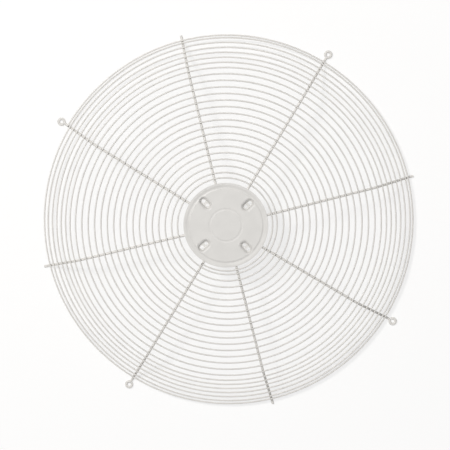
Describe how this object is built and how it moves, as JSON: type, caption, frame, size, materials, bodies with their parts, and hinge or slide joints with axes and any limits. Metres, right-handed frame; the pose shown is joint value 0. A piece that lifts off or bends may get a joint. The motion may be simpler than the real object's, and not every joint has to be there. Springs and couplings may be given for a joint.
{
  "type": "wire fan guard",
  "caption": "Domed wire guard for an axial fan: a spiral wire welded on bent spokes round a pressed motor plate, with screw eyes at the rim.",
  "frame": {"origin": "centre of the circle through the four screw eyes, in the plane that the feet stand on", "axes": "+Z along the fan's axis, towards the domed outside of the guard; +X and +Y along plain spokes, with the eyes on the diagonals between them"},
  "size_m": [0.61, 0.61, 0.0714],
  "materials": {
    "plate_coating": "satin powder coat, pale warm grey",
    "wire_coating": "satin powder coat, pale warm grey"
  },
  "bodies": {
    "root": {"motor_plate": "plate_coating", "ring_spiral": "wire_coating", "eye_spoke_1": "wire_coating", "eye_spoke_2": "wire_coating", "eye_spoke_3": "wire_coating", "eye_spoke_4": "wire_coating", "plain_spoke_1": "wire_coating", "plain_spoke_2": "wire_coating", "plain_spoke_3": "wire_coating", "plain_spoke_4": "wire_coating"}
  },
  "joints": []
}
